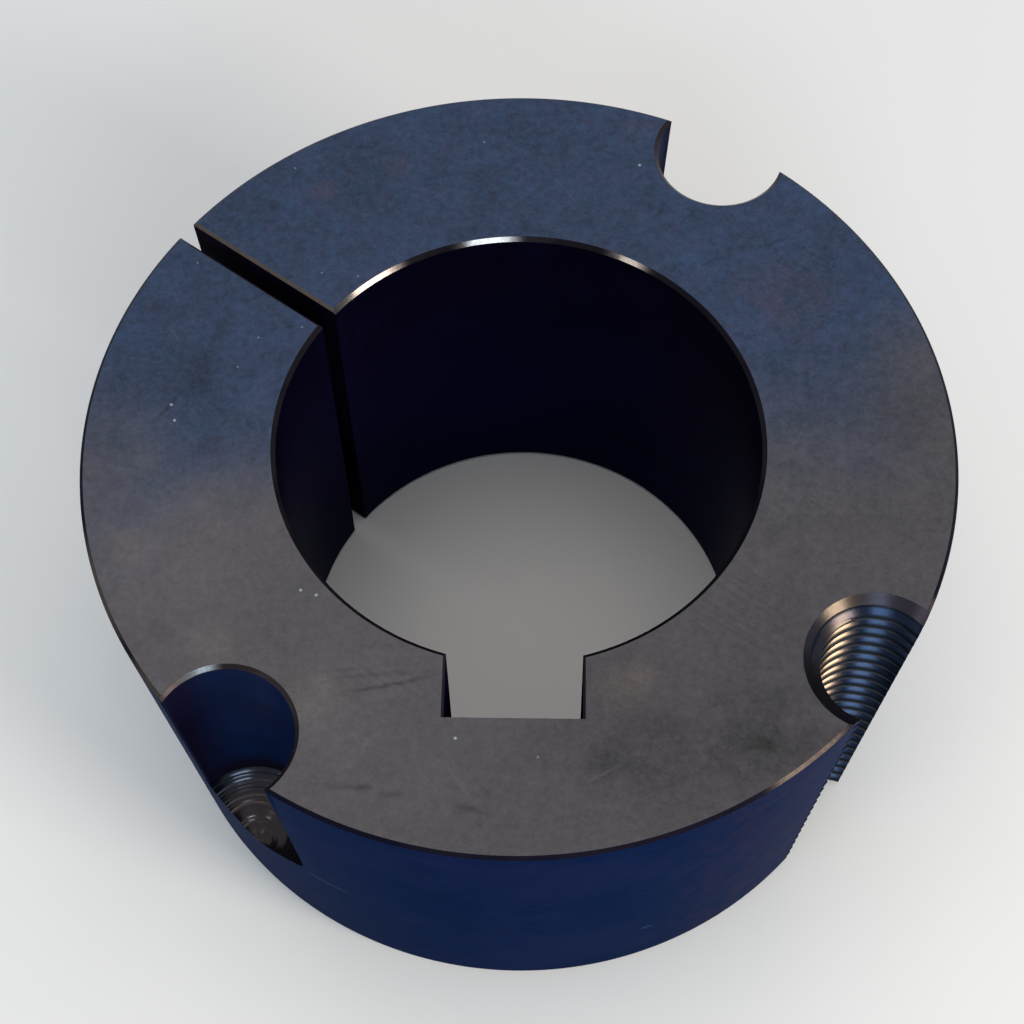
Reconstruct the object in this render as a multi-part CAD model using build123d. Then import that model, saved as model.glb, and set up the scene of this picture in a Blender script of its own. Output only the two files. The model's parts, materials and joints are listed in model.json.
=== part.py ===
from build123d import *
import os
from math import radians, tan

# Split taper bush for fixing a pulley's or sprocket's hub to a shaft.
#
# It is one piece of steel, turned to a shallow cone outside and a parallel bore inside. It has
# a keyway along the bore, and a slit through one wall, so that it can close on the shaft.
# Three half-holes lie on the cone, and the hub has the other half of each. Two are plain and
# blind, and the clamping screws press on their floors. One is tapped right through, and a
# screw in it jacks the bush out of the hub.
#
# The origin is on the bore's axis, in the small end's face. +Z runs to the large end, and the
# keyway lies towards -Y. Sizes are in millimetres and angles in degrees.

# Turned blank
large_end_diameter = 85.725
length = 44.45
taper_per_side = 4.0
bore_diameter = 47.625
bore_chamfer = 0.45
large_rim_chamfer = 0.35
small_rim_chamfer = 0.5

# Keyway, broached along the whole bore, with its depth measured down its side
keyway_width = 12.7
keyway_depth = 6.5
keyway_edge_break = 0.25

# Slit, sawn through one wall, at an angle from +X
slit_width = 2.0
slit_angle = 144.8
slit_edge_break = 0.3

# Half-holes, all on one circle, at angles from the slit
hole_circle_diameter = 82.0
clamp_hole_diameter = 13.2
clamp_hole_depth = 24.5
clamp_hole_point_angle = 118.0
clamp_hole_chamfer = 0.4
clamp_hole_from_slit = 85.2
removal_hole_drill_diameter = 10.72
removal_hole_sink_diameter = 14.1
removal_hole_from_slit = 180.4

large_end_radius = large_end_diameter / 2
bore_radius = bore_diameter / 2
hole_circle_radius = hole_circle_diameter / 2

# Every cutting tool runs this far past the face that it goes in or out by
overrun = length / 10


def cone_radius(height):
    """The radius of the cone at a height above the small end."""
    return large_end_radius - (length - height) * tan(radians(taper_per_side))


def turned(*points):
    """The solid swept by a closed outline of (radius, height) points as it turns about Z."""
    outline = Polyline(*[(radius, 0, height) for radius, height in points], close=True)
    return revolve(make_face(outline), Axis.Z)


def turned_blank():
    """The bush as it leaves the lathe: cone, end faces, bore and their chamfers."""
    small_rim = cone_radius(small_rim_chamfer)
    large_rim = cone_radius(length - large_rim_chamfer)
    return turned(
        (bore_radius, bore_chamfer),
        (bore_radius + bore_chamfer, 0),
        (small_rim - small_rim_chamfer, 0),
        (small_rim, small_rim_chamfer),
        (large_rim, length - large_rim_chamfer),
        (large_rim - large_rim_chamfer, length),
        (bore_radius + bore_chamfer, length),
        (bore_radius, length - bore_chamfer),
    )


def slot_cutter(width, reach, edge_break):
    """A bar from the bore's axis towards -Y, as long as the bush and flared to 45 degrees at
    both ends, so that it breaks the edges that it cuts in the end faces."""
    profile = Polyline(
        (-width / 2, -overrun),
        (-width / 2, length + overrun),
        (width / 2, length + overrun),
        (width / 2, -overrun),
        close=True,
    )
    flare = edge_break + overrun
    mouth = Polyline(
        (-width / 2 - flare, length + overrun),
        (width / 2 + flare, length + overrun),
        (width / 2, length - edge_break),
        (-width / 2, length - edge_break),
        close=True,
    )
    bar = make_face(Plane.XZ * profile)
    large_end_mouth = make_face(Plane.XZ * mouth)
    small_end_mouth = large_end_mouth.mirror(Plane.XY.offset(length / 2))
    return extrude(bar + large_end_mouth + small_end_mouth, reach, dir=(0, -1, 0))


def keyway_cutter():
    """The broach's path, as deep at the keyway's side as the keyway is."""
    bore_at_side = (bore_radius**2 - (keyway_width / 2) ** 2) ** 0.5
    return slot_cutter(keyway_width, bore_at_side + keyway_depth, keyway_edge_break)


def slit_cutter():
    """The saw's path, turned from -Y to the slit's own angle."""
    bar = slot_cutter(slit_width, large_end_radius + overrun, slit_edge_break)
    return Rot(0, 0, slit_angle + 90) * bar


def at_half_hole(tool, angle):
    """A drilling tool moved from the bush's axis to its place on the circle of half-holes."""
    return Rot(0, 0, angle) * Pos(hole_circle_radius, 0, 0) * tool


def clamp_hole_drill():
    """A plain blind hole with a drill point for its floor, chamfered at its mouth."""
    radius = clamp_hole_diameter / 2
    floor_edge = length - clamp_hole_depth
    floor_centre = floor_edge - radius / tan(radians(clamp_hole_point_angle / 2))
    flare = clamp_hole_chamfer + overrun
    return turned(
        (0, floor_centre),
        (radius, floor_edge),
        (radius, length - clamp_hole_chamfer),
        (radius + flare, length + overrun),
        (0, length + overrun),
    )


def removal_hole_drill():
    """A tapping drill's hole, right through, countersunk to 90 degrees at the large end."""
    radius = removal_hole_drill_diameter / 2
    sink = removal_hole_sink_diameter / 2 - radius
    flare = sink + overrun
    return turned(
        (0, -overrun),
        (radius, -overrun),
        (radius, length - sink),
        (radius + flare, length + overrun),
        (0, length + overrun),
    )


def taper_bush():
    """The finished bush."""
    bush = turned_blank() - keyway_cutter() - slit_cutter()
    for side in (-1, 1):
        bush -= at_half_hole(clamp_hole_drill(), slit_angle + side * clamp_hole_from_slit)
    return bush - at_half_hole(removal_hole_drill(), slit_angle + removal_hole_from_slit)


os.makedirs("parts", exist_ok=True)
export_step(taper_bush(), "parts/taper_bush.step")
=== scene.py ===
# %% [markdown]
# # A split taper bush in black-oxide steel
# A taper bush fixes a pulley or a sprocket to a shaft. Its outside is a shallow cone, its inside
# a parallel bore with a keyway, and a slit lets it close on the shaft as screws pull it into the
# hub. This lesson dresses the finished CAD solid of one bush for a picture. The solid comes
# first, because everything here takes its sizes and its place from it.

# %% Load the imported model
import json
import random
from math import cos, hypot, pi, radians, sin, tan
from types import SimpleNamespace

import bmesh
import bpy
from mathutils import Matrix, Vector


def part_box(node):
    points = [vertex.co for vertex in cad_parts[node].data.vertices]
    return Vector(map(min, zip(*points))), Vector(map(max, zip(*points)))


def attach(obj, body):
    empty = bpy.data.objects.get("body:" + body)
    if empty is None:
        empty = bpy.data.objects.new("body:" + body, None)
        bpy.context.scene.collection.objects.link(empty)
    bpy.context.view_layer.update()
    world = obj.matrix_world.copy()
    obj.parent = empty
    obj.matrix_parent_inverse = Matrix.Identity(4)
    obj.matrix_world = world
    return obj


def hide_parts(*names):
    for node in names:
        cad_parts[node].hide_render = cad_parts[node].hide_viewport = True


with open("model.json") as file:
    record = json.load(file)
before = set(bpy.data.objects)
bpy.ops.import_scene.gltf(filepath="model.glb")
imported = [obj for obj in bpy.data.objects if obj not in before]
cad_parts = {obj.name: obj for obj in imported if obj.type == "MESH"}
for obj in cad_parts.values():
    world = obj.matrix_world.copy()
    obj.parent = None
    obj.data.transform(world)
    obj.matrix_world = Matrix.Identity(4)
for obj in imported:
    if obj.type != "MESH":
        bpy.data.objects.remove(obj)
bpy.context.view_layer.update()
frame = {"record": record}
to_mm, to_metres = 1000, 0.001

# %% [markdown]
# ## The camera
# The bush stands on its small end and is seen from the front and well above, a little more than
# a hand's width away. A lens of about 75 mm keeps some perspective, so that the far rim is
# plainly smaller than the near one. The camera comes first, because each finish is judged
# through it. Aiming it with a track rotation and one small roll is easier to read than angles.

# %% Place the camera
camera_place = Vector((0.00326, -0.10519, 0.22389))
camera_aim = Vector((0.00039, 0.01318, 0.02220))
camera_roll = radians(-0.58)

camera = bpy.data.objects.new("camera", bpy.data.cameras.new("camera"))
camera.data.sensor_width = 36
camera.data.lens = 74.78
camera.data.shift_x = -0.01367
camera.data.shift_y = -0.07318
camera.data.clip_start = 0.01
level = (camera_aim - camera_place).to_track_quat("-Z", "Y").to_matrix()
camera.matrix_world = (
    Matrix.Translation(camera_place) @ (level @ Matrix.Rotation(camera_roll, 3, "Z")).to_4x4()
)
bpy.context.scene.collection.objects.link(camera)
bpy.context.scene.camera = camera
print("camera to bush:", round(to_mm * (camera_aim - camera_place).length), "mm")

# %% [markdown]
# ## Sizes
# The CAD model says where every hole is: each mount in its record has a place, a radius and a
# length. Reading them keeps the dressed bush true to the solid. The few sizes that a record
# leaves out, such as chamfers, are written here. All of it is in millimetres, because a machinist
# thinks in them, and Blender's tools have tolerances that suit numbers near one. The length loses
# a ten-thousandth of a millimetre, so that rounding can't carry the bush out of its box.

# %% Read the sizes
low, high = (to_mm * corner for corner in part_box("taper_bush"))
mounts = {mount["name"]: mount for mount in frame["record"]["mounts"]}


def hole(name):
    """A half-hole's axis, radius and depth, from its mount."""
    mount = mounts[name]
    x, y, _ = (to_mm * part for part in mount["pos_m"])
    return Vector((x, y, 0)), mount["dims"]["r_mm"], mount["dims"]["length_mm"]


rounding_allowance = 0.0001
length = high.z - low.z - rounding_allowance
taper = tan(radians(4.0))
rim_radius = min(high.x, high.y, -low.x, -low.y)
bore_radius = mounts["shaft_bore"]["dims"]["r_mm"]
keyway_floor = -to_mm * mounts["keyway"]["pos_m"][1]

bore_chamfer = 0.45
large_rim_chamfer = 0.35
small_rim_chamfer = 0.5
keyway_width = 12.7
keyway_edge_break = 0.25
slit_width = 2.0
slit_edge_break = 0.3
slit_angle = 144.8
overrun = length / 10

print(f"length {length:.3f}, rim radius {rim_radius:.3f}, bore radius {bore_radius:.4f}")

# %% [markdown]
# ## One finish for each tool
# A lathe, a broach, a saw, a drill and a tap each leave their own surface, and the black oxide
# on top is so thin that it hides none of them. So each tool gets its own material. They are made
# empty here, and every cutter carries its material into the steel as it cuts.

# %% Name the finishes
finish_names = (
    "turned_face",
    "ground_cone",
    "bored_wall",
    "bore_chamfer",
    "rim_chamfer",
    "broken_edge",
    "broached_wall",
    "sawn_wall",
    "drilled_wall",
    "drill_floor",
    "drill_chamfer",
    "tapped_thread",
    "thread_sink",
)
finishes = {name: bpy.data.materials.new(name) for name in finish_names}
print(len(finishes), "finishes")

# %% [markdown]
# ## Turning a shape
# The blank and the drills are all round, so one helper makes them. The outline is drawn once as
# a chain of edges and spun in a full turn. Each face then takes the finish of the outline's edge
# that it came from, which is the one with the same middle. Spinning one edge at a time would be
# simpler to read, and it would be far slower. The normals are recalculated last, since a spin
# can leave them inside out.

# %% A helper that turns an outline
merge_distance = 0.0005


def tool_object(name, mesh):
    """A temporary object for a bmesh, in millimetres, with all the finishes as its slots."""
    data = bpy.data.meshes.new(name)
    mesh.to_mesh(data)
    mesh.free()
    for material in finishes.values():
        data.materials.append(material)
    made = bpy.data.objects.new(name, data)
    bpy.context.scene.collection.objects.link(made)
    return made


def middle(points):
    """The middle of the range that some (radius, height) points span."""
    radii, heights = zip(*points)
    return Vector(((min(radii) + max(radii)) / 2, (min(heights) + max(heights)) / 2))


def turned(name, outline, steps, place=Vector()):
    """A round tool or blank from (radius, height, finish of the next edge) corners."""
    edges = [pair for pair in zip(outline, outline[1:] + outline[:1]) if pair[0][0] or pair[1][0]]
    middles = [(middle((start[:2], end[:2])), finish_names.index(start[2])) for start, end in edges]
    mesh = bmesh.new()
    corners = {point: mesh.verts.new((point[0], 0, point[1])) for point in outline}
    for start, end in edges:
        mesh.edges.new((corners[start], corners[end]))
    bmesh.ops.spin(
        mesh,
        geom=mesh.verts[:] + mesh.edges[:],
        cent=(0, 0, 0),
        axis=(0, 0, 1),
        angle=2 * pi,
        steps=steps,
        use_merge=True,
    )
    bmesh.ops.remove_doubles(mesh, verts=mesh.verts, dist=merge_distance)
    bmesh.ops.recalc_face_normals(mesh, faces=mesh.faces)
    for face in mesh.faces:
        at = middle([(hypot(*vert.co.xy), vert.co.z) for vert in face.verts])
        face.material_index = min(((at - point).length, finish) for point, finish in middles)[1]
    bmesh.ops.translate(mesh, vec=place, verts=mesh.verts)
    return tool_object(name, mesh)


# %% [markdown]
# ## The blank
# The bush leaves the lathe as a ring: two flat ends, a bore, and a cone that is 4 degrees to a
# side and largest at the top. Every rim has a small chamfer, and these catch most of the light
# in the picture, so they are real faces and not a trick of the shader.

# %% Turn the blank
blank_steps = 360


def cone_radius(height):
    """The cone's radius at a height above the small end."""
    return rim_radius - (length - large_rim_chamfer - height) * taper


small_rim = cone_radius(small_rim_chamfer)
blank = turned(
    "blank",
    [
        (bore_radius, bore_chamfer, "bore_chamfer"),
        (bore_radius + bore_chamfer, 0, "turned_face"),
        (small_rim - small_rim_chamfer, 0, "rim_chamfer"),
        (small_rim, small_rim_chamfer, "ground_cone"),
        (rim_radius, length - large_rim_chamfer, "rim_chamfer"),
        (rim_radius - large_rim_chamfer, length, "turned_face"),
        (bore_radius + bore_chamfer, length, "bore_chamfer"),
        (bore_radius, length - bore_chamfer, "bored_wall"),
    ],
    steps=blank_steps,
)
print("blank:", len(blank.data.polygons), "faces")

# %% [markdown]
# ## The keyway and the slit
# A broach cuts the keyway along the whole bore, and a saw cuts the slit through one wall. Both
# are straight bars that flare to 45 degrees at the two ends, and the flare breaks the edges in
# the same cut. The bar starts as one face and is extruded. Its slanted faces cut the broken
# edges, and the rest cut the walls.

# %% Make the two bars
least_slant = 0.1


def corners_of(parts):
    """The vertices among the parts that a bmesh operator gives back."""
    return [part for part in parts if isinstance(part, bmesh.types.BMVert)]


def bar(name, width, reach, edge_break, wall, angle):
    """A flared bar from the bore's axis out to a reach, turned from -Y by an angle."""
    flare = width / 2 + edge_break + overrun
    side = [
        (flare, -overrun),
        (width / 2, edge_break),
        (width / 2, length - edge_break),
        (flare, length + overrun),
    ]
    outline = side + [(-x, z) for x, z in reversed(side)]
    mesh = bmesh.new()
    face = mesh.faces.new([mesh.verts.new((x, 0, z)) for x, z in outline])
    grown = bmesh.ops.extrude_face_region(mesh, geom=[face])["geom"]
    bmesh.ops.translate(mesh, vec=(0, -reach, 0), verts=corners_of(grown))
    bmesh.ops.recalc_face_normals(mesh, faces=mesh.faces)
    for face in mesh.faces:
        slanted = min(abs(face.normal.x), abs(face.normal.z)) > least_slant
        face.material_index = finish_names.index("broken_edge" if slanted else wall)
    bmesh.ops.rotate(mesh, cent=(0, 0, 0), matrix=Matrix.Rotation(angle, 3, "Z"), verts=mesh.verts)
    return tool_object(name, mesh)


keyway_bar = bar("keyway_bar", keyway_width, keyway_floor, keyway_edge_break, "broached_wall", 0)
slit_turn = radians(slit_angle + 90)
slit_bar = bar(
    "slit_bar", slit_width, rim_radius + overrun, slit_edge_break, "sawn_wall", slit_turn
)
print("bars:", keyway_bar.name, "and", slit_bar.name)

# %% [markdown]
# ## The clamping holes
# Two half-holes are plain and blind. The tips of the clamping screws press on their floors,
# which have the cone of a drill's point. The lips of the drill leave fine rings on it, and they
# show plainly, so the floor's outline zigzags by a few hundredths of a millimetre.

# %% Make the clamping drills
rings = random.Random(11)
ring_width = (0.13, 0.21)
ring_height = (0.012, 0.04)
smooth_tip = 0.35
smooth_edge = 0.1
point_slope = 1 / tan(radians(118.0 / 2))
mouth_chamfer = 0.4
drill_steps = 144


def clamping_drill(name):
    """A drill with a ringed point and a chamfered mouth, at the place of its mount."""
    place, radius, depth = hole(name)
    floor_edge = length - depth
    outline = [(0, floor_edge - radius * point_slope, "drill_floor")]
    at = smooth_tip
    while at < radius - smooth_edge:
        lift = rings.uniform(*ring_height) * (1 if len(outline) % 2 else -1)
        outline.append((at, floor_edge - (radius - at) * point_slope + lift, "drill_floor"))
        at += rings.uniform(*ring_width)
    print(name, "has", len(outline) - 1, "rings on its floor")
    flare = mouth_chamfer + overrun
    outline += [
        (radius, floor_edge, "drilled_wall"),
        (radius, length - mouth_chamfer, "drill_chamfer"),
        (radius + flare, length + overrun, "drill_chamfer"),
        (0, length + overrun, "drill_chamfer"),
    ]
    return turned(name + "_drill", outline, drill_steps, place)


clamping_drills = [clamping_drill(name) for name in ("clamp_hole_left", "clamp_hole_right")]

# %% [markdown]
# ## The tapped hole
# A screw in the third half-hole jacks the bush out of its hub, so that hole is tapped all the
# way through. Its thread is half an inch across with 13 turns to the inch. The saw-tooth line of
# the thread shows against the floor, so it is cut, and not drawn as a bump. A tap is one
# pitch of thread profile spun with a rise at each step. The turns join because the profile's
# top is the next turn's bottom. Doubling the stack five times makes 32 of them, and then both
# ends are trimmed flat and closed. How many turns lie below the trimmed end sets where the
# thread meets the large end's face.

# %% Make the tap
pitch = 25.4 / 13
major_radius = 6.35
flank_angle = radians(30)
root_flat = pitch / 8
tap_rounding = 0.07
turns_below = 2.28
doublings = 5
tap_steps = 60
trim_tolerance = 0.00001
rim_tolerance = 0.001
sink_radius = 7.05


def tap(name):
    """A threaded tap with slightly rounded crests and roots, at the place of its mount."""
    place, minor_radius, _ = hole(name)
    flank = (major_radius - minor_radius) * tan(flank_angle)
    half_crest = (pitch - root_flat - 2 * flank) / 2
    start = -overrun - turns_below * pitch
    profile = [
        (minor_radius, 0),
        (minor_radius, half_crest),
        (major_radius, half_crest + flank),
        (major_radius, half_crest + flank + root_flat),
        (minor_radius, pitch - half_crest),
        (minor_radius, pitch),
    ]
    mesh = bmesh.new()
    corners = [mesh.verts.new((radius, 0, start + rise)) for radius, rise in profile]
    edges = [mesh.edges.new(pair) for pair in zip(corners, corners[1:])]
    bmesh.ops.bevel(
        mesh,
        geom=corners[1:-1],
        offset=tap_rounding,
        segments=2,
        profile=0.5,
        affect="VERTICES",
        material=-1,
    )
    bmesh.ops.spin(
        mesh,
        geom=mesh.verts[:] + mesh.edges[:],
        cent=(0, 0, 0),
        axis=(0, 0, 1),
        dvec=(0, 0, pitch / tap_steps),
        angle=2 * pi,
        steps=tap_steps,
        use_merge=False,
    )
    for doubling in range(doublings):
        whole = mesh.verts[:] + mesh.edges[:] + mesh.faces[:]
        turn = bmesh.ops.duplicate(mesh, geom=whole)["geom"]
        bmesh.ops.translate(mesh, vec=(0, 0, pitch * 2**doubling), verts=corners_of(turn))
    bmesh.ops.remove_doubles(mesh, verts=mesh.verts, dist=merge_distance)
    for end, up in ((-overrun, -1), (length + overrun, 1)):
        bmesh.ops.bisect_plane(
            mesh,
            geom=mesh.verts[:] + mesh.edges[:] + mesh.faces[:],
            dist=trim_tolerance,
            plane_co=(0, 0, end),
            plane_no=(0, 0, up),
            clear_outer=True,
        )
        rim = [
            edge
            for edge in mesh.edges
            if edge.is_boundary
            and all(abs(corner.co.z - end) < rim_tolerance for corner in edge.verts)
        ]
        bmesh.ops.edgeloop_fill(mesh, edges=rim)
    bmesh.ops.recalc_face_normals(mesh, faces=mesh.faces)
    for face in mesh.faces:
        face.material_index = finish_names.index("tapped_thread")
    open_edges = sum(not edge.is_manifold for edge in mesh.edges)
    print("tap:", len(mesh.faces), "faces,", open_edges, "open edges")
    bmesh.ops.translate(mesh, vec=place, verts=mesh.verts)
    return tool_object(name, mesh)


removal_tap = tap("removal_hole")
removal_sink = turned(
    "removal_sink",
    [
        (0, length - sink_radius, "thread_sink"),
        (sink_radius + overrun, length + overrun, "thread_sink"),
        (0, length + overrun, "thread_sink"),
    ],
    drill_steps,
    hole("removal_hole")[0],
)

# %% [markdown]
# ## Cutting
# Boolean modifiers take the tools out of the blank one after another, as in the workshop. The
# exact solver is slower than the others, and it is the one that carries each tool's material
# into the cut. The result is read back as a mesh, and the tools are thrown away.

# %% Cut the bush
seam_distance = 0.0004
tools = [keyway_bar, slit_bar, *clamping_drills, removal_sink, removal_tap]
for tool in tools:
    cut = blank.modifiers.new(tool.name, "BOOLEAN")
    cut.operation = "DIFFERENCE"
    cut.solver = "EXACT"
    cut.material_mode = "TRANSFER"
    cut.object = tool

cut_blank = blank.evaluated_get(bpy.context.evaluated_depsgraph_get())
body_mesh = bpy.data.meshes.new_from_object(cut_blank)
body_mesh.name = "bush_body"
for tool in [blank, *tools]:
    bpy.data.meshes.remove(tool.data)

body = bmesh.new()
body.from_mesh(body_mesh)
bmesh.ops.remove_doubles(body, verts=body.verts, dist=seam_distance)
bmesh.ops.dissolve_degenerate(body, edges=body.edges, dist=seam_distance)
bmesh.ops.recalc_face_normals(body, faces=body.faces)
print(
    "bush:", len(body.faces), "faces,", round(body.calc_volume()), "mm3,",
    sum(not edge.is_manifold for edge in body.edges), "open edges",
)

# %% [markdown]
# ## No edge is perfectly sharp
# Where a hole breaks out through the cone, its two long edges are taken off with a file, or
# they would cut the hand. Every other edge between two cuts is left as the tool made it, and
# tumbling has only dulled it. A Bevel modifier rounds each edge by its own weight. The thread
# and the rings on the drill points are finer than any rounding, and stay as they are. A bevel
# folds over where it is wider than the next edge along, as in the corner of a slit, so the
# shortest edges are closed first. The body goes from millimetres to metres just before its
# bevel, once all its cuts are done.

# %% Close the shortest edges
widest_break = 0.28
dulled = 0.05
shortest = 0.15
untouched = {"tapped_thread", "drill_floor"}


def finishes_beside(part):
    """The names of the finishes on the faces round an edge or a vertex."""
    return {finish_names[face.material_index] for face in part.link_faces}


welds = {}
for edge in body.edges:
    if edge.calc_length() > shortest or finishes_beside(edge) & untouched:
        continue
    moved, kept = sorted(edge.verts, key=lambda corner: len(finishes_beside(corner)))
    if not {moved, kept} & (set(welds) | set(welds.values())):
        welds[moved] = kept
bmesh.ops.weld_verts(body, targetmap=welds)
print("short edges closed:", len(welds))

# %% Weigh the edges
filed = {"drilled_wall", "ground_cone"}
sharp = radians(24)
weights = body.edges.layers.float.new("bevel_weight_edge")
for edge in body.edges:
    beside = finishes_beside(edge)
    if edge.calc_face_angle(0) > sharp and not beside & untouched:
        edge[weights] = 1.0 if beside == filed else dulled / widest_break
print("edges to bevel:", sum(edge[weights] > 0 for edge in body.edges))

# %% Bevel the edges
bmesh.ops.scale(body, vec=(to_metres,) * 3, verts=body.verts)
body.to_mesh(body_mesh)
body.free()
body_mesh.shade_smooth()
body_mesh.set_sharp_from_angle(angle=sharp)

bush_body = bpy.data.objects.new("bush_body", body_mesh)
bpy.context.scene.collection.objects.link(bush_body)
softened = bush_body.modifiers.new("edge_break", "BEVEL")
softened.limit_method = "WEIGHT"
softened.width = to_metres * widest_break
softened.segments = 2
softened.use_clamp_overlap = False
softened.harden_normals = True

bush_body.data = bpy.data.meshes.new_from_object(
    bush_body.evaluated_get(bpy.context.evaluated_depsgraph_get())
)
bush_body.modifiers.clear()
bush_body.data.name = "bush_body"
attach(bush_body, "root")
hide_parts("taper_bush")
print("beveled bush:", len(bush_body.data.polygons), "faces")

# %% [markdown]
# ## A short way to write shaders
# A finish is a small program. Wrapping each socket in a class lets the sums be written as plain
# Python, and each one adds its own Math node. Every other node comes from one method that
# sets the node up and then joins its inputs. The alternative, a long list of nodes and links,
# does the same and hides the sum.

# %% Wrap the sockets
class Wire:
    """One output socket of a material, with arithmetic that adds Math nodes."""

    def __init__(self, socket):
        self.socket = socket
        self.tree = socket.id_data

    def node(self, kind, settings=None, inputs=None, output=0):
        """A new node of a kind: its settings first, then the values or wires of its inputs."""
        made = self.tree.nodes.new(kind)
        for name, value in (settings or {}).items():
            setattr(made, name, value)
        for name, value in (inputs or {}).items():
            if isinstance(value, Wire):
                self.tree.links.new(value.socket, made.inputs[name])
            else:
                made.inputs[name].default_value = value
        return Wire(made.outputs[output])

    def sum(self, operation, first, second):
        return self.node("ShaderNodeMath", {"operation": operation}, {0: first, 1: second})

    def __add__(self, other):
        return self.sum("ADD", self, other)

    def __sub__(self, other):
        return self.sum("SUBTRACT", self, other)

    def __rsub__(self, other):
        return self.sum("SUBTRACT", other, self)

    def __mul__(self, other):
        return self.sum("MULTIPLY", self, other)

    __radd__ = __add__
    __rmul__ = __mul__


# %% Helpers on wires
def step(value, start, end):
    """0 before start and 1 after end, with a smooth rise between them."""
    return value.node(
        "ShaderNodeMapRange",
        {"interpolation_type": "SMOOTHSTEP"},
        {"Value": value, "From Min": start, "From Max": end},
    )


def noise(at, scale, detail=2.0, roughness=0.5, distortion=0.0):
    """Soft noise from 0 to 1, with a scale in cycles per millimetre."""
    inputs = {"Vector": at, "Scale": scale, "Detail": detail}
    inputs |= {"Roughness": roughness, "Distortion": distortion}
    return at.node("ShaderNodeTexNoise", None, inputs)


def vector_math(operation, first, second=None, output=0):
    """A Vector Math node on one or two vectors."""
    inputs = {0: first} if second is None else {0: first, 1: second}
    return first.node("ShaderNodeVectorMath", {"operation": operation}, inputs, output)


def height(at):
    """How far a point is above the small end."""
    return at.node("ShaderNodeSeparateXYZ", None, {0: at}, output="Z")


def distance(at, x, y):
    """How far a point is from the upright line through x and y."""
    flattened = vector_math("MULTIPLY", at, (1, 1, 0))
    return vector_math("DISTANCE", flattened, (x, y, 0), output="Value")


def patches(at, places):
    """A soft mask: 1 within the inner radius of each (x, y, inner, outer), 0 past the outer."""
    mask = 0.0
    for x, y, inner, outer in places:
        mask = mask + step(distance(at, x, y), outer, inner)
    return mask


# %% Helpers on colours and vectors
def colour(red, green, blue):
    """A full, opaque colour, as sockets want it."""
    return (red, green, blue, 1.0)


def blend(mask, first, second):
    """A colour that goes from first to second as the mask goes from 0 to 1. A Mix node has a
    set of sockets for each kind of data, and the colours' own go by their numbers."""
    settings = {"data_type": "RGBA", "clamp_factor": True}
    return mask.node("ShaderNodeMix", settings, {0: mask, 6: first, 7: second}, output=2)


def scaled(vector, amount):
    """A colour or a place times a wire or a number."""
    inputs = {0: vector, "Scale": amount}
    return vector.node("ShaderNodeVectorMath", {"operation": "SCALE"}, inputs)


# %% Start and end of a finish
def open_finish(name):
    """A finish's shader, and where a point of it is on the bush, in millimetres."""
    finishes[name].use_nodes = True
    shader = finishes[name].node_tree.nodes["Principled BSDF"]
    metres = Wire(shader.outputs["BSDF"]).node("ShaderNodeTexCoord", output="Object")
    return SimpleNamespace(name=name, shader=shader, at=scaled(metres, to_mm))


def close_finish(finish, base, rough, metal, relief, relief_height, reflect):
    """Joins a finish's wires to its shader. The relief's height is in millimetres."""
    shader = finish.shader
    inputs = {"Distance": to_metres * relief_height, "Height": relief}
    bump = relief.node("ShaderNodeBump", None, inputs)
    joined = {"Base Color": base, "Roughness": rough, "Normal": bump}
    if isinstance(metal, Wire):
        joined["Metallic"] = metal
    else:
        shader.inputs["Metallic"].default_value = metal
    for name, wire in joined.items():
        base.tree.links.new(wire.socket, shader.inputs[name])
    shader.inputs["Specular IOR Level"].default_value = reflect
    print(finish.name, "has", len(base.tree.nodes), "nodes")


# %% [markdown]
# ## The end faces
# Black oxide on a faced end is a satin slate blue. Towards the front its tint is painted warm
# brown-grey, as painted lamp light, and towards the back cool slate, partly the oxide's own
# colour and partly a painted reflection of a cool surround. It is never even: clouds of both
# tints run through each other, a painted sheen lightens the front left, darker patches lie on
# it, a few burnished spots are worn brown, the oxide reddens in spots, and light scratches and
# specks of dust lie on top. All of it could be painted on one image, but an image has a fixed
# sharpness. So the clouds are noise, and each mark is a place in a short list, which is easy to
# move. A soft place is its x and y, the radius where it is full and the radius where it ends, in
# millimetres.

# %% The face's tints
# The warm grey is painted warm lamp light for the front. The two slates, for the back, are partly
# the oxide's own blue-black and partly a painted reflection of a cool surround.
teal_slate = colour(0.0203, 0.0420, 0.0935)
mauve_slate = colour(0.0257, 0.0415, 0.0925)
warm_lit_grey = colour(0.067, 0.062, 0.070)
worn_brown = colour(0.112, 0.092, 0.082)
oxide_red = colour(0.090, 0.045, 0.050)
scratch_grey = colour(0.15, 0.14, 0.15)
dust_grey = colour(0.40, 0.44, 0.50)
print("from", teal_slate[:3], "to", worn_brown[:3])

# %% The face's soft places
# A painted sheen: broad lighter places at the front left of the face.
painted_sheen_places = ((-30, -14, 12, 28), (-12, -34, 2, 16), (-32, -12, 2, 14))
# Darker patches: the four at the front right are painted shade, the three others darker spots.
darker_places = (
    (15, -35, 3, 9),
    (25, -27, 3, 12),
    (10, -31, 2, 9),
    (23, -31, 2, 8),
    (-34, 8, 0, 9),
    (38, 3, 0, 6),
    (-17, 31, 0, 7),
)
burnished = (
    (12.0, -24.8, 0.3, 1.9),
    (10.0, -26.3, 0.5, 3.6),
    (-37.3, -12.5, 0.6, 3.2),
    (-28, -23, 0.5, 3.5),
    (-18, -27.5, 0.5, 4.0),
)
reddened = ((-21, 30, 0.2, 2.4), (-13.5, 33, 0.2, 2.2), (12, 38.5, 0.2, 2.6), (27, 17, 1, 7))
brushed = ((27.5, -7.5, 1, 5), (21, -18, 2, 8), (-12, -27, 2, 7), (28, 22, 2, 8))
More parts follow.
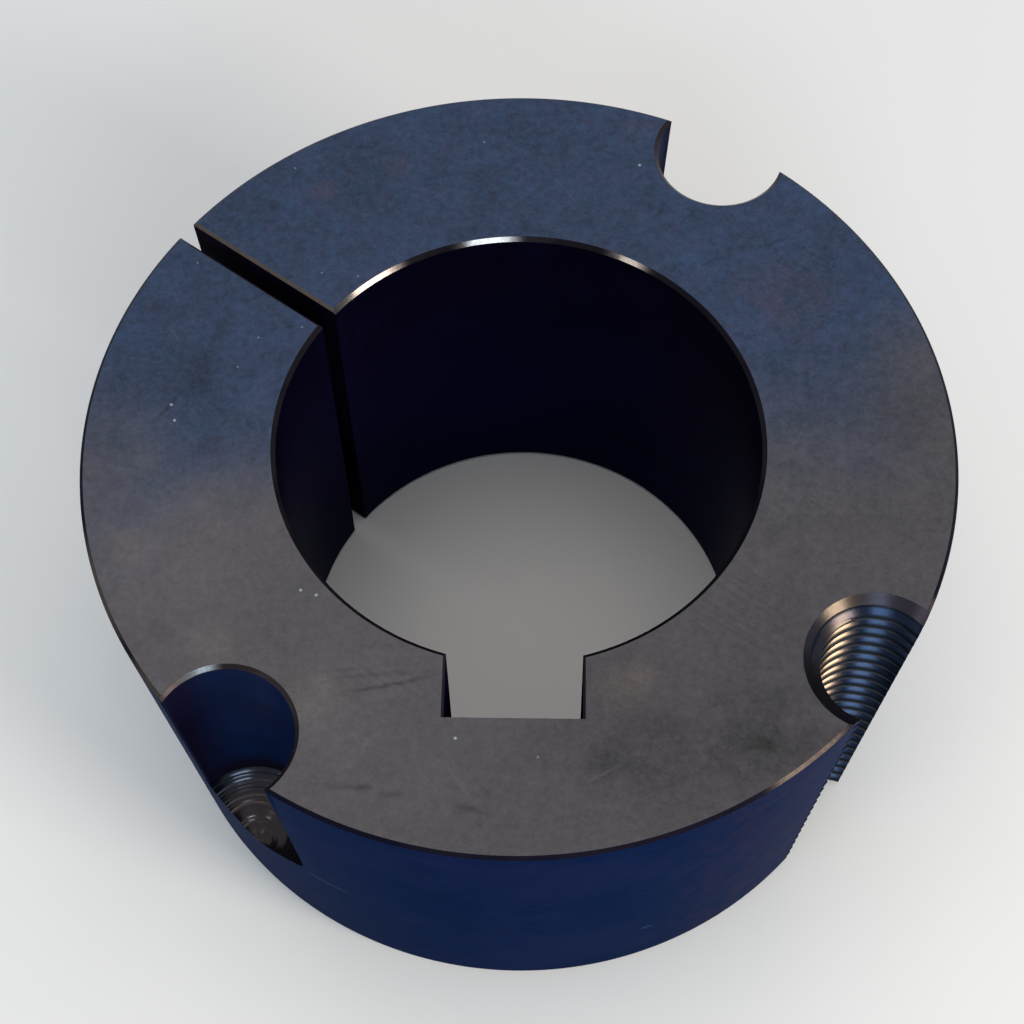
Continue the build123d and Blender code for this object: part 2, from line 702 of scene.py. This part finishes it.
# Places where the painted warm light reaches further back.
painted_warm_places = ((-45, 1, 4, 15), (44, 8, 3, 15), (-26, -11, 3, 11))
print(len(painted_sheen_places + darker_places + burnished + reddened + brushed + painted_warm_places), "soft places")

# %% [markdown]
# ## Rubs, scratches and dust
# Things that touched the face left marks with a direction: short dark and light rubs, a few long
# scratches, and brushing. A Mapping node of the Texture kind moves, turns and stretches the point
# that is asked about, and not the mark. So each rub becomes a plain circle of radius one in its
# own measure, and each scratch a stretched noise. A rub here is its x and y, its turn in
# degrees, half its length, half its width, and how light it is. Dust is only an x and a y. The
# rubs are on the large end alone, and everything else is on both ends.

# %% Rubs and dust
rubs = (
    (-11.4, -26.3, 13, 5.4, 0.38, -0.36),
    (-12.5, -25.3, 5, 6.0, 0.40, -0.22),
    (-12.0, -27.4, 12, 4.4, 0.9, 0.08),
    (-15.5, -24.9, 4, 3.6, 0.35, -0.14),
    (-14.8, -36.2, -3, 3.6, 0.45, -0.22),
    (-13.3, -36.4, 0, 1.2, 0.6, -0.20),
    (-10.8, -37.0, -7, 1.9, 0.45, -0.23),
    (-3.9, -38.2, -18, 2.4, 0.55, -0.26),
    (-33.0, -13.5, 60, 2.2, 1.5, -0.10),
    (-32.8, -21.2, -35, 2.6, 1.2, -0.14),
    (-34.8, 3.0, 57, 3.6, 0.35, -0.26),
    (-31.8, 7.0, 80, 4.2, 2.4, -0.17),
    (-30.0, 12.5, 72, 3.6, 1.5, -0.12),
    (8.3, -33.5, 60, 5.0, 2.6, -0.13),
    (22.0, -31.8, 4, 3.0, 1.1, -0.18),
    (24.5, -10.5, 60, 2.2, 1.6, -0.12),
    (26.0, -2.6, 10, 2.0, 0.9, -0.11),
    (19.6, 21.4, 30, 2.3, 0.35, -0.24),
    (23.0, 23.2, 20, 0.9, 0.4, -0.16),
    (26.6, 24.0, 22, 2.2, 0.35, -0.22),
    (25.5, 23.0, 20, 7.5, 0.35, 0.12),
    (22.6, 19.1, -8, 2.1, 0.4, -0.18),
    (14.3, 27.4, 76, 2.4, 0.4, -0.20),
    (-7.0, 40.5, -10, 2.0, 0.7, -0.16),
    (-0.2, 35.6, 36, 1.2, 0.2, 0.30),
    (-13.3, -32.3, 68, 1.2, 0.3, 0.22),
    (35.0, 7.2, 17, 2.0, 0.22, 0.18),
)
dust_grains = (
    (-20.2, -16.8),
    (-18.7, -17.3),
    (-34.4, 3.4),
    (-33.9, 1.6),
    (-5.2, -31.5),
    (12.2, 33.6),
)
fine_dust = (
    (-33.4, 20.5),
    (-22.1, 12.7),
    (-26.4, 11.4),
    (-28.2, 7.9),
    (-16.8, 19.0),
    (-20.5, 19.4),
    (-24.2, 32.8),
    (-4.3, 36.5),
    (2.3, -33.2),
)
print(len(rubs), "rubs and", len(dust_grains + fine_dust), "specks of dust")


# %% Marks that lie along a line
def laid(at, x, y, turn, long, wide):
    """Places as seen from x and y, turned by some degrees and measured in lengths and widths.
    Heights are measured from the large end, in a unit that the small end lies well beyond."""
    inputs = {"Vector": at, "Location": (x, y, length), "Rotation": (0, 0, radians(turn))}
    inputs["Scale"] = (long, wide, 10.0)
    return at.node("ShaderNodeMapping", {"vector_type": "TEXTURE"}, inputs)


def scratches(at, seed, turn):
    """Fine straight scratches in one direction, with gaps along them."""
    along = laid(at, seed, -seed, turn, 22.0, 0.35)
    gaps = noise(at, 0.08 + 0.01 * seed, 1.0)
    return step(noise(along, 1.0, 0.0), 0.74, 0.82) * step(gaps, 0.58, 0.66)


def wavering(at, scale, reach):
    """Places pushed about by noise, so that straight marks waver."""
    settings = {"Vector": at, "Scale": scale}
    push = at.node("ShaderNodeTexNoise", None, settings, output="Color")
    push = vector_math("SUBTRACT", push, (0.5, 0.5, 0.5))
    return vector_math("ADD", at, scaled(push, reach))


def rubbing(at):
    """How much lighter the rubs make the face, or how much darker below 0."""
    lift = 0.0
    for *lie, light in rubs:
        away = vector_math("LENGTH", laid(at, *lie), output="Value")
        lift = lift + step(away, 1.0, 0.1) * light
    return lift


grain_radii, fine_radii = (0.04, 0.22), (0.0, 0.18)
fine_strength = 0.5


def dust_on(at):
    """A mask of dust: a few bright grains, and fainter and finer dust."""
    grains = patches(at, [(*place, *grain_radii) for place in dust_grains])
    fine = patches(at, [(*place, *fine_radii) for place in fine_dust])
    return grains + fine * fine_strength


# %% [markdown]
# ## The face's finish
# The front of the face is painted warm and the back cool, as painted light, and noise makes the
# border between them ragged. The shade is what makes the tint lighter or darker: the four sizes
# of noise first, then the brushing and the rubs, and then a painted sheen, which lightens only
# where the painted warmth is, and darker patches. The tint is built up from the oxide outwards,
# and the dust goes on last. One long sum would do the same. The parts have names so that each
# can be tried on its own.

# %% Finish the turned faces
front_side = (0.16, -1.0, 0)
along_the_lay = (0.04, 0.04, 0)
cool_end, warm_end = -11.0, 17.0
cloud_reach, mottle_reach, place_reach = 22.0, 9.0, 9.0
brush_strength, rub_strength, sheen_strength, darkening_strength = 0.50, 1.3, 0.20, 0.24


def painted_light_warmth(at, clouds, mottle):
    """How warm the face's painted light is: 1 towards the front and 0 towards the back."""
    reach = vector_math("DOT_PRODUCT", at, front_side, "Value")
    reach = reach + patches(at, painted_warm_places) * place_reach
    reach = reach + (clouds - 0.5) * cloud_reach + (mottle - 0.5) * mottle_reach
    return step(reach, cool_end, warm_end)


def face_marks(at, painted_warmth, mottle):
    """How much lighter all the marks and the painted sheen make the face."""
    bristles = noise(laid(at, 0, 0, -35, 7.0, 0.42), 1.0, 2.0) - 0.5
    marks = bristles * patches(at, brushed) * brush_strength
    marks = marks + rubbing(wavering(at, 0.7, 0.7)) * rub_strength
    # Painted sheen, only where the painted warm light is.
    marks = marks + patches(at, painted_sheen_places) * painted_warmth * sheen_strength
    # Darker patches: painted shade at the front right.
    return marks - patches(at, darker_places) * step(mottle, 0.3, 0.7) * darkening_strength


def finish_turned_face():
    face = open_finish("turned_face")
    at = face.at
    clouds = noise(at, 0.05, 4.0, 0.55, 0.6)
    hues = noise(at, 0.45, 5.0, 0.68, 0.5)
    mottle = noise(at, 0.30, 5.0, 0.62)
    blotches = noise(at, 1.1, 3.0, 0.65, 0.3)
    grain = noise(at, 3.0, 3.0, 0.7)
    lay = noise(vector_math("MULTIPLY", at, along_the_lay), 2.0)
    lines = scratches(at, 3.0, 29.0) + scratches(at, 7.0, 126.0)
    worn_and_highlit = patches(at, burnished)
    dust = dust_on(at)

    # Painted light: the tint is warm at the front and cool at the back.
    painted_warmth = painted_light_warmth(at, clouds, mottle)
    unevenness = (clouds - 0.5) * 0.30 + (mottle - 0.5) * 0.50 + (blotches - 0.5) * 0.65
    unevenness = unevenness + (grain - 0.5) * 0.60
    shade = 0.90 + unevenness * (1.7 - painted_warmth * 0.7) - painted_warmth * 0.06
    shade = shade + face_marks(at, painted_warmth, mottle)

    tint = blend(step(hues, 0.40, 0.60), teal_slate, mauve_slate)
    tint = blend(patches(at, reddened) * step(hues, 0.30, 0.60) * 0.20, tint, oxide_red)
    tint = blend(painted_warmth, tint, warm_lit_grey)
    tint = blend(worn_and_highlit * mottle * 0.7, tint, worn_brown)
    tint = blend(lines * 0.14, scaled(tint, shade), scratch_grey)
    base = blend(dust * 0.7, tint, dust_grey)
    rough = 0.46 + (mottle - 0.5) * 0.18 + (grain - 0.5) * 0.06 - worn_and_highlit * 0.06
    relief = grain * 0.5 + lay * 0.3
    close_finish(face, base, rough, 0.12 * (1.0 - dust), relief, 0.004, 0.30)


finish_turned_face()

# %% [markdown]
# ## The thread
# A tap cuts bright flanks and leaves the drilled wall on the crests, and the crests and the roots
# are dark with painted shade. So how far a point lies from the hole's own axis says which of the
# three it is. A picture of a thread could be wrapped round instead, but it would slide off the
# real flanks. A painted warm highlight lies on the flanks of one side, in a place that is given
# from the hole's axis.

# %% Finish the thread
# Painted shade for the crests and the roots.
painted_groove_shade = colour(0.002, 0.005, 0.012)
flank_teal = colour(0.008, 0.017, 0.036)
flank_slate = colour(0.018, 0.021, 0.037)
# A painted warm highlight on the flanks of one side, and where it lies from the hole's axis.
painted_warm_highlight = colour(0.165, 0.122, 0.085)
highlight_place = (-3.6, 4.7, 0.8, 3.1)


def finish_tapped_thread():
    thread = open_finish("tapped_thread")
    place, minor_radius, _ = hole("removal_hole")
    depth = distance(thread.at, place.x, place.y) - minor_radius
    depth = depth * (1 / (major_radius - minor_radius))
    flank = step(depth, 0.02, 0.30) * step(depth, 0.98, 0.66)
    stain = noise(thread.at, 0.5, 3.0, 0.6)
    grain = noise(thread.at, 3.5, 3.0, 0.65)
    x, y, inner, outer = highlight_place
    # The painted warm highlight, fainter near the large end.
    worn_and_highlit = patches(thread.at, [(place.x + x, place.y + y, inner, outer)])
    worn_and_highlit = worn_and_highlit * (1.0 - step(height(thread.at), 40.5, 42.5) * 0.7)
    oxide = blend(worn_and_highlit, blend(stain, flank_teal, flank_slate), painted_warm_highlight)
    # The crests and the roots take the painted shade.
    base = blend(flank, painted_groove_shade, scaled(oxide, 0.7 + grain * 0.6))
    rough = 0.26 + (grain - 0.5) * 0.1 - flank * 0.04
    close_finish(thread, base, rough, flank * 0.9, grain, 0.004, 0.05)


finish_tapped_thread()

# %% [markdown]
# ## The cone
# The hub grips the bush by its cone, so it is ground smooth and oiled. Its deep blue is partly
# the oxide's own blue-black and partly a painted reflection of a blue surround. The eye meets it
# at a glancing angle, where any gloss would mirror the pale floor and turn it grey. So it is
# mostly a dark matt blue, with a quarter of metal whose blue tint at the glancing angle is a
# painted reflection too. Grinding marks run round it, a brown haze is left where fingers held
# it, and the hub has left a few short scuffs. A scuff is its x and y, how far it reaches, the
# height of its middle and half its width.

# %% Finish the cone
round_the_bush = (0.04, 0.04, 1)
# deep_blue and violet_blue are partly the oxide's own blue-black and partly a painted reflection of
# a blue surround.
deep_blue = colour(0.004, 0.0125, 0.047)
violet_blue = colour(0.008, 0.015, 0.053)
brown_haze = colour(0.020, 0.016, 0.034)
scuff_blue = colour(0.045, 0.075, 0.16)
painted_blue_reflection = colour(0.31, 0.345, 0.46)
hazy = ((24, -34, 2, 13), (-38, 12, 2, 14), (6, 42, 2, 16))
scuffs = ((-18.6, -36.6, 2.8, 18.9, 0.45), (13.4, -38.3, 0.7, 11.4, 0.5), (30, 26, 5, 30, 0.4))


def finish_ground_cone():
    cone = open_finish("ground_cone")
    clouds = noise(cone.at, 0.09, 4.0, 0.6, 0.4)
    mottle = noise(cone.at, 0.45, 4.0, 0.65)
    grain = noise(cone.at, 2.6, 3.0, 0.65)
    marks = noise(vector_math("MULTIPLY", cone.at, round_the_bush), 3.0, 3.0, 0.6)
    rise = height(cone.at)
    scuffed = 0.0
    for x, y, reach, middle_height, half_width in scuffs:
        band = step(rise, middle_height - half_width, middle_height)
        band = band * step(rise, middle_height + half_width, middle_height)
        scuffed = scuffed + band * patches(cone.at, [(x, y, reach / 2, reach)])
    tint = blend(step(clouds, 0.38, 0.66), deep_blue, violet_blue)
    haze = patches(cone.at, hazy) * step(mottle, 0.35, 0.65)
    tint = blend(haze * 0.6, tint, brown_haze)
    base = scaled(tint, 0.55 + marks * 0.3 + grain * 0.2 + mottle * 0.4)
    base = blend(scuffed * 0.5, base, scuff_blue)
    rough = 0.28 + (clouds - 0.5) * 0.12 + (marks - 0.5) * 0.1
    # The blue tint at the glancing angle is a painted reflection.
    cone.shader.inputs["Specular Tint"].default_value = painted_blue_reflection
    close_finish(cone, base, rough, 0.25, marks + grain * 0.3, 0.002, 0.0)


finish_ground_cone()

# %% [markdown]
# ## The other finishes
# All the rest are one oxide over different tool marks, so one function makes them. Two tints
# drift through each other, fine marks run round the bush or up it as the tool did, and a
# shallow relief catches the light. What sets them apart is how dark, how smooth and how bare
# each one is:
#
# - The bored, broached and sawn walls hold oil and are nearly black, and a painted reflection
#   makes the bore bluer towards the small end.
# - The drilled walls are bluer, with darker maroon patches beside the cone, and painted shade
#   darkens them above the floor.
# - The drills' chamfers and floors and the thread's sink were left smooth by their tools, so
#   their oxide shines like metal, and the chamfers and the sink carry painted highlights.
# - The rims, the bore's chamfer and the broken edges are dark, with painted highlights in a few
#   places, brown on the rims and the edges.

# %% Plain oxide finishes
up_the_bush, every_way = (1, 1, 0.04), (1, 1, 1)


def plain_finish(
    name,
    dark,
    light,
    rough,
    metal=0.0,
    reflect=0.002,
    lines=(round_the_bush, 2.0),
    relief_height=0.004,
    low=None,
    worn=None,
):
    """An oxide finish. Its options are the direction and scale of its lines, a colour that it
    has low down as (colour, from height, to height), and patches and painted highlights as
    (places, colour, metal)."""
    finish = open_finish(name)
    clouds = noise(finish.at, 0.12, 4.0, 0.6, 0.4)
    grain = noise(finish.at, 2.6, 3.0, 0.65)
    direction, scale = lines
    marks = noise(vector_math("MULTIPLY", finish.at, direction), scale, 3.0, 0.6)
    tint = blend(step(clouds, 0.38, 0.66), colour(*dark), colour(*light))
    if low:
        low_colour, start, end = low
        tint = blend(step(height(finish.at), start, end), tint, colour(*low_colour))
    if worn:
        # Places that are painted highlights on the chamfers, the sink and the edges, and darker
        # patches on the drilled wall.
        places, patch_and_highlight_colour, patch_and_highlight_metal = worn
        patch_and_highlight_mask = patches(finish.at, places) * (0.55 + grain * 0.8)
        tint = blend(patch_and_highlight_mask, tint, colour(*patch_and_highlight_colour))
        metal = metal + patch_and_highlight_mask * patch_and_highlight_metal
    base = scaled(tint, 0.75 + marks * 0.3 + grain * 0.2)
    roughness = rough + (clouds - 0.5) * 0.12 + (marks - 0.5) * 0.1
    relief = marks + grain * 0.3
    close_finish(finish, base, roughness, metal, relief, relief_height, reflect)


# %% The walls
# The bore's colour low down is a painted blue reflection, bluer towards the small end.
plain_finish(
    "bored_wall",
    (0.0014, 0.0008, 0.006),
    (0.0020, 0.0015, 0.010),
    rough=0.35,
    reflect=0.004,
    low=((0.004, 0.0035, 0.028), 42.0, 4.0),
)
plain_finish(
    "broached_wall",
    (0.003, 0.003, 0.013),
    (0.005, 0.004, 0.018),
    rough=0.42,
    reflect=0.0,
    lines=(up_the_bush, 2.5),
)
plain_finish(
    "sawn_wall",
    (0.0018, 0.001, 0.006),
    (0.0045, 0.002, 0.009),
    rough=0.40,
    lines=(up_the_bush, 2.0),
    relief_height=0.010,
)
# The drilled wall's colour low down is painted shade above the floor; its patches are darker maroon
# places beside the cone.
plain_finish(
    "drilled_wall",
    (0.0030, 0.0088, 0.036),
    (0.0040, 0.0112, 0.047),
    rough=0.30,
    low=((0.0055, 0.0040, 0.010), 24.5, 20.5),
    worn=(((-32.6, -26.8, 1.0, 5.5), (13, 40.8, 1, 5)), (0.0058, 0.0045, 0.016), 0.0),
)

# %% The chamfers, the edges and the drill's floor
plain_finish(
    # The places on the rim's chamfer are painted highlights, tan in tint.
    "rim_chamfer",
    (0.0045, 0.0045, 0.011),
    (0.0080, 0.0065, 0.013),
    rough=0.26,
    reflect=0.02,
    worn=(
        (
            (-38.6, -16.5, 2.0, 8.0),
            (-33, -27, 1.0, 5.0),
            (24.9, -34.2, 0.5, 3.5),
            (28.3, -31.5, 0.5, 4.0),
            (38.6, -17.6, 0.3, 1.5),
        ),
        (0.068, 0.054, 0.048),
        0.45,
    ),
)
# The place on the drill's chamfer is a painted bluish-white highlight.
plain_finish(
    "drill_chamfer",
    (0.018, 0.014, 0.016),
    (0.032, 0.025, 0.026),
    rough=0.24,
    metal=0.5,
    reflect=0.1,
    worn=(((-29.3, -24.7, 0.5, 2.6),), (0.19, 0.20, 0.215), 0.4),
)
# The places on the bore's chamfer are painted highlights.
plain_finish(
    "bore_chamfer",
    (0.008, 0.007, 0.010),
    (0.014, 0.012, 0.015),
    rough=0.12,
    metal=0.3,
    reflect=0.02,
    lines=(round_the_bush, 3.0),
    relief_height=0.001,
    worn=(
        ((-15.8, 17.6, 1.8, 5.5), (-3.6, 23.6, 1.0, 4.0), (10.8, 21.5, 0.3, 3.0)),
        (0.13, 0.12, 0.115),
        0.7,
    ),
)
# The place on the sink is a painted warm highlight.
plain_finish(
    "thread_sink",
    (0.022, 0.021, 0.032),
    (0.034, 0.030, 0.040),
    rough=0.26,
    metal=0.85,
    reflect=0.3,
    worn=(((30.2, -17.7, 0.4, 3.6),), (0.080, 0.065, 0.050), 0.1),
)
# The places along the slit's broken edge are a painted highlight, brown in tint.
plain_finish(
    "broken_edge",
    (0.010, 0.008, 0.012),
    (0.016, 0.012, 0.016),
    rough=0.30,
    metal=0.1,
    reflect=0.1,
    lines=(every_way, 1.0),
    relief_height=0.006,
    worn=(
        (
            (-18.7, 16.9, 2.0, 3.7),
            (-22.0, 19.2, 2.0, 3.7),
            (-25.2, 21.5, 2.0, 3.7),
            (-28.5, 23.8, 2.0, 3.7),
            (-31.8, 26.1, 2.0, 3.7),
        ),
        (0.090, 0.070, 0.060),
        0.3,
    ),
)
plain_finish(
    "drill_floor",
    (0.013, 0.018, 0.028),
    (0.030, 0.028, 0.032),
    rough=0.17,
    metal=0.85,
    reflect=0.5,
    lines=(every_way, 1.0),
    low=((0.038, 0.030, 0.032), 19.8, 17.4),
)

# %% [markdown]
# ## The stage
# A plain pale floor, a big soft panel overhead, and three small lamps in front and to the sides.
# The small lamps are there for the chamfers and the thread, which only show what is bright and
# narrow. The floor and the lamps are in metres, and the floor lies a hair under the bush, so
# that the two don't fight for the same plane.

# %% Floor
floor_reach = 2.0
floor_gap = 0.00005

floor_mesh = bmesh.new()
bmesh.ops.create_grid(floor_mesh, x_segments=1, y_segments=1, size=floor_reach)
bmesh.ops.translate(floor_mesh, vec=(0, 0, -floor_gap), verts=floor_mesh.verts)
floor_data = bpy.data.meshes.new("floor")
floor_mesh.to_mesh(floor_data)
floor_mesh.free()
floor = bpy.data.objects.new("floor", floor_data)
bpy.context.scene.collection.objects.link(floor)
floor_paint = bpy.data.materials.new("floor_paint")
floor_paint.use_nodes = True
paint = floor_paint.node_tree.nodes["Principled BSDF"]
paint.inputs["Base Color"].default_value = colour(0.80, 0.80, 0.80)
paint.inputs["Roughness"].default_value = 0.9
paint.inputs["Specular IOR Level"].default_value = 0.1
floor_data.materials.append(floor_paint)
print("floor at", round(to_mm * floor_data.vertices[0].co.z, 3), "mm")

# %% Lamps
lamp_target = Vector((0, 0, 0.03))
lamp_distance = 0.6


def lamp(name, azimuth, elevation, wide, tall, radiance, tint):
    """A soft lamp that faces the bush. Azimuth 0 is in front, and 90 is on the right."""
    data = bpy.data.lights.new(name, "AREA")
    data.shape = "RECTANGLE"
    data.size = wide
    data.size_y = tall
    data.energy = radiance * pi * wide * tall
    data.color = tint
    made = bpy.data.objects.new(name, data)
    turn, rise = radians(azimuth), radians(elevation)
    away = Vector((sin(turn) * cos(rise), -cos(turn) * cos(rise), sin(rise)))
    made.location = lamp_target + away * lamp_distance
    made.rotation_mode = "QUATERNION"
    made.rotation_quaternion = away.to_track_quat("Z", "Y")
    bpy.context.scene.collection.objects.link(made)
    print(name, round(data.energy, 3), "W")


lamp("overhead_panel", 190, 82, 0.40, 0.34, 1.6, (1.0, 0.90, 0.80))
lamp("front_lamp", 10, 35, 0.19, 0.12, 11.0, (0.78, 0.93, 1.0))
lamp("side_lamp", 57, 24, 0.20, 0.24, 14.0, (1.0, 0.88, 0.75))
lamp("left_lamp", -47, 31, 0.12, 0.10, 5.0, (1.0, 0.92, 0.85))

world = bpy.data.worlds.new("studio")
bpy.context.scene.world = world
world.use_nodes = True
sky = world.node_tree.nodes["Background"]
sky.inputs["Color"].default_value = colour(0.88, 0.94, 1.0)
sky.inputs["Strength"].default_value = 0.62

# %% [markdown]
# ## The view transform
# The dressed bush has to fit in the box of the solid that it stands for. The view transform is
# Standard, because a colour then shows as it was written.

# %% Set the view transform
bpy.context.scene.view_settings.view_transform = "Standard"
